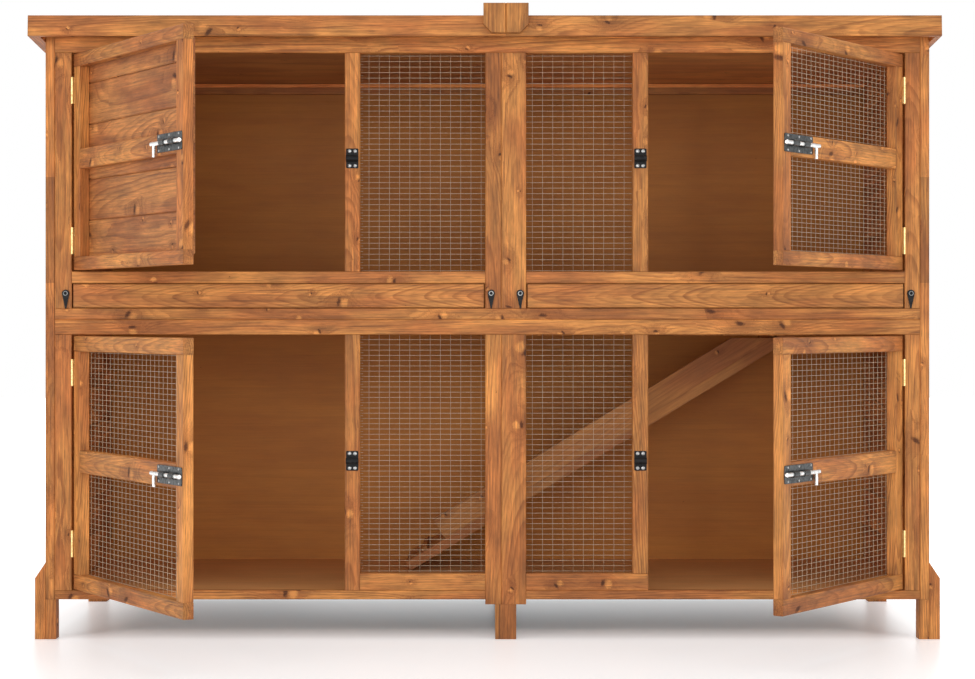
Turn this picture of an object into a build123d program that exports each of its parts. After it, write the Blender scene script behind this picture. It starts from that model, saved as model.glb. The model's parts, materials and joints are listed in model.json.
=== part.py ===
from build123d import *
import os
from math import cos, radians, sin, tan

os.makedirs("parts", exist_ok=True)

# A two-storey rabbit hutch in planed timber, with its four doors ajar.
# Millimetres, +Z up, the front looks towards -Y.
# The origin is the centre of the sole of the front middle leg.

# Front frame, widths from left to right
corner_left_w = 34.5
door_left_open = 554.2
inner_left_w = 31.0
mesh_left_open = 254.6
centre_left_w = 32.5
centre_right_w = 50.5
mesh_right_open = 216.0
inner_right_w = 32.0
door_right_open = 521.0
corner_right_w = 31.0

# Front frame, heights from the floor up
leg_clear = 81.0
bottom_rail_h = 18.2
mesh_rail_h = 34.3
lower_open_h = 519.8
lower_top_rail_h = 30.5
upper_bottom_rail_h = 22.7
tray_open_h = 51.0
tray_rail_h = 23.8
upper_open_h = 444.5
top_rail_h = 44.0
centre_drop = 10.0
frame_t = 21.0
ease = 1.2

# Sides, back and feet
body_d = 640.0
side_t = 19.0
side_stile_w = 34.0
side_top_rail_h = 80.0
back_frame_t = 20.0
back_stile_w = 34.0
back_centre_w = 44.0
back_rail_h = 40.0
ply_t = 6.0
ceiling_batten_h = 23.0
ceiling_batten_t = 14.0
ceiling_bead_h = 8.0
ceiling_bead_out = 5.0
leg_in = 2.3
foot_w = 21.5
foot_h = 156.0
foot_slope_h = 32.0
mid_leg_w = 43.0
mid_leg_d = 45.0

# Tongue-and-groove boards
board_t = 12.0
board_cover = 85.0
board_gap = 0.6
board_vee = 2.0
tongue_t = 4.0
tongue_h = 5.0
tongue_clear = 0.3

# Floors and what carries them
floor_t = 9.0
floor_step = 2.0
bearer_w = 20.0
bearer_h = 30.0
trimmer_h = 49.0

# Welded mesh, as a holed sheet
mesh_t = 1.6
mesh_lap = 10.0
mesh_pitch = 76.0
wire_w = 2.4

# Doors
door_t = 21.0
hinge_gap = 3.0
door_gap = 4.0
door_gap_z = 3.0
door_stile_w = 31.0
upper_rail_h = 27.0
upper_mid_h = 40.0
upper_mid_rise = 5.0
upper_bolt_rise = 2.5
lower_rail_h = 31.0
lower_mid_h = 45.0
lower_mid_rise = 3.6
infill_inset = 20.0
door_board_cover = 83.0
door_board_top = 41.0
left_open_deg = 58.6
right_open_deg = 54.6

# Butt hinges
hinge_len = 54.0
hinge_from_top = 74.0
hinge_from_foot_upper = 59.5
hinge_from_foot_lower = 92.3
knuckle_r = 2.9
knuckle_sides = 12
knuckle_proud = 0.3
knuckle_gap = 0.4
pin_r = 1.2
pin_clear = 0.05
pin_head = 0.5
leaf_clear = 0.3
leaf_d = 16.0

# Tower bolts and their keepers
plate_len = 112.0
plate_h = 34.0
plate_t = 2.0
plate_set = 3.0
rod_r = 4.2
rod_clear = 0.4
rod_len = 131.0
rod_nose = 1.5
bolt_travel = 28.0
strap_t = 1.6
guide_w = 20.0
guide_set = 24.0
handle_r = 3.2
handle_set = 8.0
handle_drop = 25.0
handle_clear = 2.0
keeper_w = 25.0
keeper_h = 40.0
keeper_t = 1.5
keeper_clear = 0.8

# Slide-out trays
tray_gap = 1.5
tray_side_gap = 3.0
tray_slide = 0.5
tray_inset = 22.0
tray_base_t = 4.0
tray_wall_t = 12.0
tray_wall_h = 36.0
tray_back_gap = 10.0
tray_guide_w = 16.0
tray_guide_h = 16.0
tray_guide_clear = 2.0

# Turn buttons
button_set = 12.0
button_rise = 5.0
button_r = 7.5
button_reach = 31.0
button_tip_r = 1.2
button_t = 3.0
button_clear = 0.4
screw_r = 2.2
screw_sides = 12
screw_clear = 0.05
screw_head_r = 5.0
screw_head_h = 2.6
screw_depth = 15.0

# Roof
roof_deg = 4.15
roof_over_left = 23.5
roof_over_right = 13.0
roof_over_front = 62.0
roof_over_rear = 25.0
roof_gap = 0.5
deck_t = 14.5
felt_t = 3.0
fascia_t = 12.0
fascia_h = 41.7
fascia_lip = 1.8
strip_w = 90.5
strip_h = 22.5
cap_t = 14.0
cap_h = 60.0
cap_slope_w = 16.5
cap_slope_h = 18.0
vee_w = 4.0
vee_d = 2.5

# Ramp
ramp_deg = 31.3
ramp_foot_x = -205.4
ramp_set = 380.0
ramp_t = 21.0
ramp_back_gap = 2.0
ramp_headroom = 260.0
guard_t = 15.0
guard_h = 50.0
guard_start = 100.0
guard_drop = 5.0
tread_pitch = 100.0
tread_w = 12.0
tread_h = 7.0
tread_tuck = 1.0

# Places across the front, from the centre outwards
x_centre_left = -(centre_left_w + centre_right_w) / 2
x_centre_right = -x_centre_left
x_seam = x_centre_left + centre_left_w
x_inner_left = x_centre_left - mesh_left_open
x_door_left_far = x_inner_left - inner_left_w
x_door_left = x_door_left_far - door_left_open
x_left = x_door_left - corner_left_w
x_inner_right = x_centre_right + mesh_right_open
x_door_right_far = x_inner_right + inner_right_w
x_door_right = x_door_right_far + door_right_open
x_right = x_door_right + corner_right_w

# Places from front to back
y_front = -mid_leg_d / 2
y_inside = y_front + frame_t
y_rear = y_front + body_d
y_batten = y_rear - back_frame_t
y_back = y_batten - ply_t

# Levels from the floor up
z_bottom = leg_clear
z_lower = z_bottom + bottom_rail_h
z_mesh_rail = z_lower + mesh_rail_h
z_lower_top = z_lower + lower_open_h
z_storey = z_lower_top + lower_top_rail_h
z_tray = z_storey + upper_bottom_rail_h
z_tray_top = z_tray + tray_open_h
z_upper = z_tray_top + tray_rail_h
z_upper_top = z_upper + upper_open_h
z_roof = z_upper_top + top_rail_h
z_floor = z_lower - floor_step
z_floor_under = z_floor - floor_t
z_deck_under = z_tray - floor_t

# The roof's underside meets the front frame's face at the top of its rail and falls to the rear
fall = radians(roof_deg)
roof_plane = Plane(origin=(0, y_front, z_roof), x_dir=(1, 0, 0), z_dir=(0, sin(fall), cos(fall)))

# The ramp climbs to the right, from a corner on the lower floor to the edge of its hole
climb = radians(ramp_deg)
y_ramp = y_front + ramp_set
y_guard = y_ramp + guard_t
x_ramp_nose = ramp_foot_x - ramp_t * sin(climb)
z_ramp_nose = z_floor + ramp_t * cos(climb)
x_hole_end = x_ramp_nose + (z_tray - z_ramp_nose) / tan(climb)
x_hole_start = x_ramp_nose + (z_deck_under - ramp_headroom - z_ramp_nose) / tan(climb)
y_trimmer = y_ramp - bearer_w


def span(a, b):
    return (min(a, b), max(a, b))


def save(name, *pieces):
    # One node: a single solid, or several that stay separate
    node = pieces[0] if len(pieces) == 1 else Compound(children=list(pieces))
    node.label = name
    export_step(node, f"parts/{name}.step")


def member(x, y, z, along, edge=ease, under_roof=False):
    # A timber that fills the box x by y by z, its edges along the grain eased
    axes = {"X": (1, 0, 0), "Y": (0, 1, 0), "Z": (0, 0, 1)}
    spans = {"X": x, "Y": y, "Z": z}
    size = {axis: high - low for axis, (low, high) in spans.items()}
    middle = {axis: (low + high) / 2 for axis, (low, high) in spans.items()}
    middle[along] = spans[along][0]
    wide, deep = [axis for axis in axes if axis != along]
    plane = Plane(origin=tuple(middle.values()), x_dir=axes[wide], z_dir=axes[along])
    with BuildPart() as timber:
        with BuildSketch(plane) as section:
            Rectangle(size[wide], size[deep])
            if edge > 0:
                chamfer(section.vertices(), edge)
        extrude(amount=size[along])
        if under_roof:
            split(bisect_by=roof_plane, keep=Keep.BOTTOM)
    return timber.part


def sheet(x, y, z, under_roof=False):
    return member(x, y, z, "Z", edge=0, under_roof=under_roof)


def elevation(points, y):
    # A shape drawn on the front elevation, as (x, z) points, and run back through y
    with BuildPart() as piece:
        with BuildSketch(Plane(origin=(0, y[0], 0), x_dir=(1, 0, 0), z_dir=(0, -1, 0))):
            with BuildLine():
                Polyline(*points, close=True)
            make_face()
        extrude(amount=y[0] - y[1])
    return piece.part


def side_view(points, x):
    # A shape drawn on the side elevation, as (y, z) points, and run across through x
    with BuildPart() as piece:
        with BuildSketch(Plane(origin=(x[0], 0, 0), x_dir=(0, 1, 0), z_dir=(1, 0, 0))):
            with BuildLine():
                Polyline(*points, close=True)
            make_face()
        extrude(amount=x[1] - x[0])
    return piece.part


def even_seams(height):
    count = max(1, round(height / board_cover))
    return [height * row / count for row in range(count + 1)]


def boarding(outward, foot, width, seams, under_roof=False):
    # Tongue-and-groove boards with level grain, parted at the seams, which are heights above foot,
    # the middle of the lowest inner edge
    boards = []
    last = len(seams) - 2
    for row, (low, high) in enumerate(zip(seams, seams[1:])):
        board_h = high - low - board_gap
        edge = Vector(*foot) + Vector(0, 0, low)
        plane = Plane(origin=edge, x_dir=outward, z_dir=Vector(*outward).cross(Vector(0, 0, 1)))
        with BuildPart() as board:
            with BuildSketch(plane) as section:
                Rectangle(board_t, board_h, align=(Align.MIN, Align.MIN))
                chamfer(section.vertices().group_by(Axis.X)[-1], board_vee)
                if row > 0:
                    with Locations((board_t / 2, 0)):
                        Rectangle(
                            tongue_t + 2 * tongue_clear,
                            tongue_h + tongue_clear,
                            align=(Align.CENTER, Align.MIN),
                            mode=Mode.SUBTRACT,
                        )
                if row < last:
                    with Locations((board_t / 2, board_h)):
                        Rectangle(tongue_t, tongue_h, align=(Align.CENTER, Align.MIN))
            extrude(amount=width / 2, both=True)
            if under_roof and row == last:
                split(bisect_by=roof_plane, keep=Keep.BOTTOM)
        boards.append(board.part)
    return boards


def mesh_panel(x, y_face, z):
    # Welded mesh as one holed sheet, its front on y_face
    wide, high = x[1] - x[0], z[1] - z[0]
    count_x = max(1, round(wide / mesh_pitch))
    count_z = max(1, round(high / mesh_pitch))
    pitch_x = (wide - wire_w) / count_x
    pitch_z = (high - wire_w) / count_z
    middle = ((x[0] + x[1]) / 2, y_face, (z[0] + z[1]) / 2)
    with BuildPart() as panel:
        with BuildSketch(Plane(origin=middle, x_dir=(1, 0, 0), z_dir=(0, -1, 0))):
            Rectangle(wide, high)
            with GridLocations(pitch_x, pitch_z, count_x, count_z):
                Rectangle(pitch_x - wire_w, pitch_z - wire_w, mode=Mode.SUBTRACT)
        extrude(amount=-mesh_t)
    return panel.part


# Front frame: rails run through, stiles stand between them
front = (y_front, y_inside)
button_z = (z_tray + z_tray_top) / 2 + button_rise
button_x = {
    "outer_left": x_door_left - button_set,
    "inner_left": x_centre_left + button_set,
    "inner_right": x_centre_right - button_set,
    "outer_right": x_door_right + button_set,
}


def bored_stile(x, button):
    # A stile beside a tray, bored for the screw of a turn button
    with BuildPart() as stile:
        add(member(x, front, (z_tray, z_upper_top), "Z"))
        with BuildSketch(Plane(origin=(button_x[button], y_front, button_z), z_dir=(0, -1, 0))):
            RegularPolygon(screw_r + screw_clear, screw_sides, major_radius=False)
        extrude(amount=-screw_depth, mode=Mode.SUBTRACT)
    return stile.part


save(
    "upper_front_rails",
    member((x_left, x_right), front, (z_upper_top, z_roof + frame_t), "X", under_roof=True),
    member((x_left, x_right), front, (z_storey, z_tray), "X"),
    member((x_door_left, x_centre_left), front, (z_tray_top, z_upper), "X"),
    member((x_centre_right, x_door_right), front, (z_tray_top, z_upper), "X"),
)
save(
    "upper_front_stiles",
    bored_stile((x_left, x_door_left), "outer_left"),
    bored_stile((x_centre_left, x_seam), "inner_left"),
    bored_stile((x_seam, x_centre_right), "inner_right"),
    bored_stile((x_door_right, x_right), "outer_right"),
    member((x_door_left_far, x_inner_left), front, (z_upper, z_upper_top), "Z"),
    member((x_inner_right, x_door_right_far), front, (z_upper, z_upper_top), "Z"),
)
save(
    "lower_front_rails",
    member((x_left, x_right), front, (z_lower_top, z_storey), "X"),
    member((x_left, x_centre_left), front, (z_bottom, z_lower), "X"),
    member((x_centre_right, x_right), front, (z_bottom, z_lower), "X"),
    member((x_inner_left, x_centre_left), front, (z_lower, z_mesh_rail), "X"),
    member((x_centre_right, x_door_right_far), front, (z_lower, z_mesh_rail), "X"),
)
save(
    "lower_front_stiles",
    member((x_left, x_door_left), front, (z_lower, z_lower_top), "Z"),
    member((x_centre_left, x_seam), front, (z_bottom - centre_drop, z_lower_top), "Z"),
    member((x_seam, x_centre_right), front, (z_bottom - centre_drop, z_lower_top), "Z"),
    member((x_door_right, x_right), front, (z_lower, z_lower_top), "Z"),
    member((x_door_left_far, x_inner_left), front, (z_lower, z_lower_top), "Z"),
    member((x_inner_right, x_door_right_far), front, (z_mesh_rail, z_lower_top), "Z"),
)

# Mesh on the inner face of the front frame, lapped over its members
mesh_x = [
    (x_inner_left - mesh_lap, x_centre_left + mesh_lap),
    (x_centre_right - mesh_lap, x_inner_right + mesh_lap),
]
upper_mesh_z = (z_upper - mesh_lap, z_upper_top + mesh_lap)
lower_mesh_z = (z_mesh_rail - mesh_lap, z_lower_top + mesh_lap)
save("upper_fixed_mesh", *[mesh_panel(x, y_inside, upper_mesh_z) for x in mesh_x])
save("lower_fixed_mesh", *[mesh_panel(x, y_inside, lower_mesh_z) for x in mesh_x])

# Side frames: the stiles stand on the corner legs, the boards are nailed inside
sides = [(x_left - side_t, x_left), (x_right, x_right + side_t)]
leg_x = [(x_left - side_t, x_left + leg_in), (x_right - leg_in, x_right + side_t)]
side_ends = [(y_front, y_front + side_stile_w), (y_rear - side_stile_w, y_rear)]
side_run = (side_ends[0][1], side_ends[1][0])
save(
    "side_stiles",
    *[member(x, y, (z_bottom, z_roof + side_t), "Z", under_roof=True) for x in sides for y in side_ends],
    *[member(x, y, (0, z_bottom), "Z") for x in leg_x for y in side_ends],
)
side_rails = []
for x in sides:
    side_rails.append(member(x, side_run, (z_roof - side_top_rail_h, z_roof), "Y", under_roof=True))
    side_rails.append(member(x, side_run, (z_lower_top, z_tray), "Y"))
    side_rails.append(member(x, side_run, (z_bottom, z_lower), "Y"))
save("side_rails", *side_rails)

inside_x = (x_left + board_t, x_right - board_t)
board_y = (y_inside + y_back) / 2
side_boards = []
for x, outward in zip(inside_x, [(-1, 0, 0), (1, 0, 0)]):
    lower_seams = even_seams(z_deck_under - z_floor)
    upper_seams = even_seams(z_roof - z_tray)
    side_boards += boarding(outward, (x, board_y, z_floor), y_back - y_inside, lower_seams)
    side_boards += boarding(outward, (x, board_y, z_tray), y_back - y_inside, upper_seams, under_roof=True)
save("side_boards", *side_boards)

# Foot blocks outside the corner legs and their stiles, sloped at the top
foot_blocks = []
for x, out in [(x_left - side_t, -foot_w), (x_right + side_t, foot_w)]:
    outline = [(x, 0), (x + out, 0), (x + out, foot_h - foot_slope_h), (x, foot_h)]
    foot_blocks += [elevation(outline, y) for y in side_ends]
save("foot_blocks", *foot_blocks)

# Middle legs, lapped behind the front stiles and behind the rear bottom rail
mid_leg_x = (-mid_leg_w / 2, mid_leg_w / 2)


def lapped_leg(y_face, y_lap, y_end, z_lap):
    block = [(y_face, 0), (y_end, 0), (y_end, z_floor_under)]
    lap = [(y_lap, z_floor_under), (y_lap, z_lap), (y_face, z_lap)]
    return side_view(block + lap, mid_leg_x)


save(
    "middle_legs",
    lapped_leg(y_front, y_inside, y_front + mid_leg_d, z_bottom - centre_drop),
    lapped_leg(y_rear, y_back, y_rear - mid_leg_d, z_bottom),
)

# Back: plywood with a frame of battens outside it, and a beaded batten under the ceiling inside
back_x = (x_left, x_right)
save(
    "back_panels",
    sheet(back_x, (y_back, y_batten), (z_bottom, z_storey)),
    sheet(back_x, (y_back, y_batten), (z_storey, z_roof), under_roof=True),
)
batten = (y_batten, y_rear)
z_rear_roof = z_roof - body_d * tan(fall)
back_uprights = [
    (x_left, x_left + back_stile_w),
    (-back_centre_w / 2, back_centre_w / 2),
    (x_right - back_stile_w, x_right),
]
back_levels = [(z_bottom + back_rail_h, z_lower_top), (z_tray, z_rear_roof - back_rail_h)]
z_bead = z_roof - (y_back - y_front) * tan(fall)
bead_outline = [
    (y_back, z_bead - ceiling_batten_h),
    (y_back - ceiling_batten_t, z_bead - ceiling_batten_h),
    (y_back - ceiling_batten_t, z_bead - ceiling_bead_h),
    (y_back - ceiling_batten_t - ceiling_bead_out, z_bead - ceiling_bead_h),
    (y_back - ceiling_batten_t - ceiling_bead_out, z_bead),
    (y_back, z_bead),
]
save(
    "back_frame",
    member(back_x, batten, (z_bottom, z_bottom + back_rail_h), "X"),
    member(back_x, batten, (z_lower_top, z_tray), "X"),
    member(back_x, batten, (z_rear_roof - back_rail_h, z_roof), "X", under_roof=True),
    *[member(x, batten, z, "Z") for x in back_uprights for z in back_levels],
    side_view(bead_outline, inside_x),
)

# Floors: the upper one is notched at the back wall for the ramp
save("lower_floor", sheet((x_left, x_right), (y_inside, y_back), (z_floor_under, z_floor)))
with BuildPart() as upper_floor:
    with BuildSketch(Plane.XY.offset(z_deck_under)):
        with Locations((x_left, y_inside)):
            Rectangle(x_right - x_left, y_back - y_inside, align=(Align.MIN, Align.MIN))
        with Locations((x_hole_start, y_ramp)):
            Rectangle(
                x_hole_end - x_hole_start, y_back - y_ramp, align=(Align.MIN, Align.MIN), mode=Mode.SUBTRACT
            )
    extrude(amount=floor_t)
upper_floor.part.label = "upper_floor"
export_step(upper_floor.part, "parts/upper_floor.step")

# Bearers: ledgers round the walls, a centre bearer, and a deep trimmer in front of the ramp hole
ledger_z = (z_deck_under - bearer_h, z_deck_under)
front_ledger_y = (y_inside, y_inside + bearer_w)
rear_ledger_y = (y_back - bearer_w, y_back)
bearer_y = (front_ledger_y[1], rear_ledger_y[0])
foot_ledger_z = (z_bottom, z_floor_under)
side_ledger_x = [(inside_x[0], inside_x[0] + bearer_w), (inside_x[1] - bearer_w, inside_x[1])]
centre_bearer_x = (-bearer_w / 2, bearer_w / 2)
trimmer_x = (centre_bearer_x[1], side_ledger_x[1][0])
trimmer_z = (z_deck_under - trimmer_h, z_deck_under)
save(
    "floor_bearers",
    member(inside_x, (y_inside + mesh_t, front_ledger_y[1]), (z_lower_top, z_deck_under), "X"),
    member((inside_x[0], x_hole_start), rear_ledger_y, ledger_z, "X"),
    member((x_hole_end, inside_x[1]), rear_ledger_y, ledger_z, "X"),
    *[member(x, bearer_y, ledger_z, "Y") for x in side_ledger_x],
    member(centre_bearer_x, bearer_y, ledger_z, "Y"),
    member(trimmer_x, (y_trimmer, y_ramp), trimmer_z, "X"),
    member((x_left, mid_leg_x[0]), front_ledger_y, foot_ledger_z, "X"),
    member((mid_leg_x[1], x_right), front_ledger_y, foot_ledger_z, "X"),
    member((x_left, mid_leg_x[0]), rear_ledger_y, foot_ledger_z, "X"),
    member((mid_leg_x[1], x_right), rear_ledger_y, foot_ledger_z, "X"),
)

# Ramp: board, guard along its front edge cut level under the trimmer, treads across it
ramp_y = (y_ramp, y_back - ramp_back_gap)
save(
    "ramp_board",
    elevation(
        [
            (ramp_foot_x, z_floor),
            (x_ramp_nose, z_ramp_nose),
            (x_hole_end, z_tray),
            (x_hole_end, z_tray - ramp_t / cos(climb)),
        ],
        ramp_y,
    ),
)


def on_ramp(along, up):
    # A point of the front elevation, measured along the ramp's underside from its foot and square to it
    return (
        ramp_foot_x + along * cos(climb) - up * sin(climb),
        z_floor + along * sin(climb) + up * cos(climb),
    )


guard_rise = trimmer_z[0] - guard_drop - z_floor
guard_up = (ramp_t, ramp_t + guard_h)
guard_ends = [(guard_rise - up * cos(climb)) / sin(climb) for up in guard_up]
guard_outline = [
    on_ramp(guard_start, guard_up[0]),
    on_ramp(guard_start, guard_up[1]),
    on_ramp(guard_ends[1], guard_up[1]),
    on_ramp(guard_ends[0], guard_up[0]),
]
save("ramp_guard", elevation(guard_outline, (y_ramp, y_guard)))

ramp_plane = Plane(
    origin=(x_ramp_nose, (y_guard + ramp_y[1]) / 2, z_ramp_nose),
    x_dir=(cos(climb), 0, sin(climb)),
    z_dir=(-sin(climb), 0, cos(climb)),
)
tread_count = int((x_hole_end - x_ramp_nose) / cos(climb) / tread_pitch)
with BuildPart(ramp_plane) as ramp_treads:
    with Locations([((step + 0.5) * tread_pitch, 0) for step in range(tread_count)]):
        Box(
            tread_w,
            ramp_y[1] - y_guard - 2 * tread_tuck,
            tread_h,
            align=(Align.CENTER, Align.CENTER, Align.MIN),
        )
ramp_treads.part.label = "ramp_treads"
export_step(ramp_treads.part, "parts/ramp_treads.step")

# Roof: two decks with their felt, fascias nailed to the edges, a strip over the joint and its shaped cap
roof_x = (x_left - side_t - roof_over_left, x_right + side_t + roof_over_right)
deck_x = (x_left - side_t - roof_gap, x_right + side_t + roof_gap)
roof_v = (-roof_over_front / cos(fall), (body_d + roof_over_rear) / cos(fall))
deck_v = (roof_v[0] + fascia_t, roof_v[1] - fascia_t)
w_felt = deck_t + felt_t
w_fascia = (w_felt + fascia_lip - fascia_h, w_felt + fascia_lip)


def roof_board(x, v, w):
    # A board square to the roof: x across it, v down its slope, w above its underside
    with BuildPart() as board:
        with BuildSketch(roof_plane.offset(w[0])):
            with Locations((x[0], v[0])):
                Rectangle(x[1] - x[0], v[1] - v[0], align=(Align.MIN, Align.MIN))
        extrude(amount=w[1] - w[0])
    return board.part


save(
    "roof_decks",
    roof_board((deck_x[0], 0), deck_v, (0, deck_t)),
    roof_board((0, deck_x[1]), deck_v, (0, deck_t)),
)
save(
    "roof_felt",
    roof_board((deck_x[0], 0), deck_v, (deck_t, w_felt)),
    roof_board((0, deck_x[1]), deck_v, (deck_t, w_felt)),
)
front_v = (roof_v[0], deck_v[0])
save(
    "roof_front_fascia",
    roof_board((roof_x[0], 0), front_v, w_fascia),
    roof_board((0, roof_x[1]), front_v, w_fascia),
)
save("roof_rear_fascia", roof_board(roof_x, (deck_v[1], roof_v[1]), w_fascia))
save(
    "roof_side_fascias",
    roof_board((roof_x[0], deck_x[0]), deck_v, w_fascia),
    roof_board((deck_x[1], roof_x[1]), deck_v, w_fascia),
)

fascia_front = Plane(
    origin=roof_plane.from_local_coords((0, roof_v[0], 0)),
    x_dir=(1, 0, 0),
    z_dir=-roof_plane.y_dir,
)
w_strip = (w_fascia[1], w_fascia[1] + strip_h)
with BuildPart() as roof_joint_strip:
    with BuildSketch(fascia_front) as strip_section:
        with Locations((0, w_strip[0])):
            Rectangle(strip_w, strip_h, align=(Align.CENTER, Align.MIN))
        chamfer(strip_section.vertices().group_by(Axis.Y)[-1], ease)
        with BuildLine():
            Polyline((-vee_w / 2, w_strip[1]), (0, w_strip[1] - vee_d), (vee_w / 2, w_strip[1]), close=True)
        make_face(mode=Mode.SUBTRACT)
    extrude(amount=roof_v[0] - roof_v[1])
roof_joint_strip.part.label = "roof_joint_strip"
export_step(roof_joint_strip.part, "parts/roof_joint_strip.step")

w_cap = w_strip[1] - cap_h
with BuildPart() as roof_cap:
    with BuildSketch(fascia_front):
        with BuildLine():
            Polyline(
                (-strip_w / 2, w_strip[1]),
                (-strip_w / 2, w_cap + cap_slope_h),
                (-strip_w / 2 + cap_slope_w, w_cap),
                (strip_w / 2 - cap_slope_w, w_cap),
                (strip_w / 2, w_cap + cap_slope_h),
                (strip_w / 2, w_strip[1]),
                close=True,
            )
        make_face()
    extrude(amount=cap_t)
    with BuildSketch(roof_plane.offset(w_cap)):
        with BuildLine():
            v_cap = roof_v[0] - cap_t
            Polyline((-vee_w / 2, v_cap), (0, v_cap + vee_d), (vee_w / 2, v_cap), close=True)
        make_face()
    extrude(amount=cap_h, mode=Mode.SUBTRACT)
roof_cap.part.label = "roof_cap"
export_step(roof_cap.part, "parts/roof_cap.step")


# Butt hinges: the leaves stand in the gap beside the door, the pin just proud of the front
leaf_t = hinge_gap / 2 - leaf_clear
y_pin = y_front - knuckle_r - knuckle_proud
y_leaf = y_pin + knuckle_r + knuckle_gap
knuckle_len = (hinge_len - 2 * knuckle_gap) / 3


def hinge_leaf(x_pin, toward, z_foot, knuckles):
    # A leaf on the toward side of the pin, rolled round it at the numbered knuckles
    x_leaf = x_pin + toward * (hinge_gap - leaf_t) / 2
    with BuildPart() as leaf:
        with BuildSketch(Plane.XY.offset(z_foot)):
            with Locations((x_leaf, y_leaf)):
                Rectangle(leaf_t, y_front + leaf_d - y_leaf, align=(Align.CENTER, Align.MIN))
        extrude(amount=hinge_len)
        for knuckle in knuckles:
            with BuildSketch(Plane.XY.offset(z_foot + knuckle * (knuckle_len + knuckle_gap))):
                with Locations((x_pin, y_pin)):
                    RegularPolygon(knuckle_r, knuckle_sides)
                with Locations((x_leaf, y_pin)):
                    Rectangle(leaf_t, y_leaf - y_pin, align=(Align.CENTER, Align.MIN))
            extrude(amount=knuckle_len)
        with BuildSketch(Plane.XY.offset(z_foot)):
            with Locations((x_pin, y_pin)):
                RegularPolygon(pin_r + pin_clear, knuckle_sides, major_radius=False)
        extrude(amount=hinge_len, mode=Mode.SUBTRACT)
    return leaf.part


def hinge_pin(x_pin, z_foot):
    with BuildPart() as pin:
        with BuildSketch(Plane.XY.offset(z_foot - pin_head)):
            with Locations((x_pin, y_pin)):
                RegularPolygon(pin_r, knuckle_sides)
        extrude(amount=hinge_len + 2 * pin_head)
    return pin.part


# Tower bolts: the rod runs in arched straps on its plate, and in the keeper's arch on the inner stile
rod_stand = plate_t + rod_clear + rod_r


def arch(x, z, base_t, clear):
    # A strap arched over the rod, standing on a plate base_t thick, through x
    bore = rod_r + clear
    with BuildPart() as strap:
        with BuildSketch(Plane(origin=(x[0], y_front, z), x_dir=(0, -1, 0), z_dir=(1, 0, 0))):
            for half, mode in [(bore + strap_t, Mode.ADD), (bore, Mode.SUBTRACT)]:
                with Locations((rod_stand, 0)):
                    Circle(half, mode=mode)
                with Locations((base_t, 0)):
                    Rectangle(rod_stand - base_t, 2 * half, align=(Align.MIN, Align.CENTER), mode=mode)
        extrude(amount=x[1] - x[0])
    return strap.part


def fixing_plate(x, z, high, thick):
    with BuildPart() as plate:
        middle = ((x[0] + x[1]) / 2, y_front, z)
        with BuildSketch(Plane(origin=middle, x_dir=(1, 0, 0), z_dir=(0, -1, 0))) as outline:
            Rectangle(x[1] - x[0], high)
            chamfer(outline.vertices(), thick)
        extrude(amount=thick)
    return plate.part


def bolt_plate(x_edge, side, z):
    # u is measured from the door's free edge towards its hinges
    u_rear = rod_len - handle_set - 2 * handle_r - bolt_travel - handle_clear - guide_w
    plate_x = span(x_edge - side * plate_set, x_edge - side * (plate_set + plate_len))
    with BuildPart() as plate:
        add(fixing_plate(plate_x, z, plate_h, plate_t))
        for u in [guide_set, u_rear]:
            add(arch(span(x_edge - side * u, x_edge - side * (u + guide_w)), z, plate_t, rod_clear))
    return plate.part


def bolt_rod(x_edge, side, z):
    # The rod is drawn back level with the door's edge, its handle hangs from the far end
    tip = (x_edge, y_front - rod_stand, z)
    with BuildPart() as rod:
        with BuildSketch(Plane(origin=tip, x_dir=(0, 1, 0), z_dir=(-side, 0, 0))):
            Circle(rod_r)
        extrude(amount=rod_len)
        chamfer(rod.edges().filter_by(GeomType.CIRCLE).sort_by(Axis.X)[-1 if side > 0 else 0], rod_nose)
        with BuildSketch(Plane.XY.offset(z)):
            with Locations((x_edge - side * (rod_len - handle_set - handle_r), y_front - rod_stand)):
                Circle(handle_r)
        extrude(amount=-handle_drop)
    return rod.part


def bolt_keeper(x, z):
    keeper_x = (x - keeper_w / 2, x + keeper_w / 2)
    with BuildPart() as keeper:
        add(fixing_plate(keeper_x, z, keeper_h, keeper_t))
        add(arch(keeper_x, z, keeper_t, keeper_clear))
    return keeper.part


# Doors, each made shut and then swung open about its pins
frame_leaves = []
hinge_pins = []
keepers = []


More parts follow.
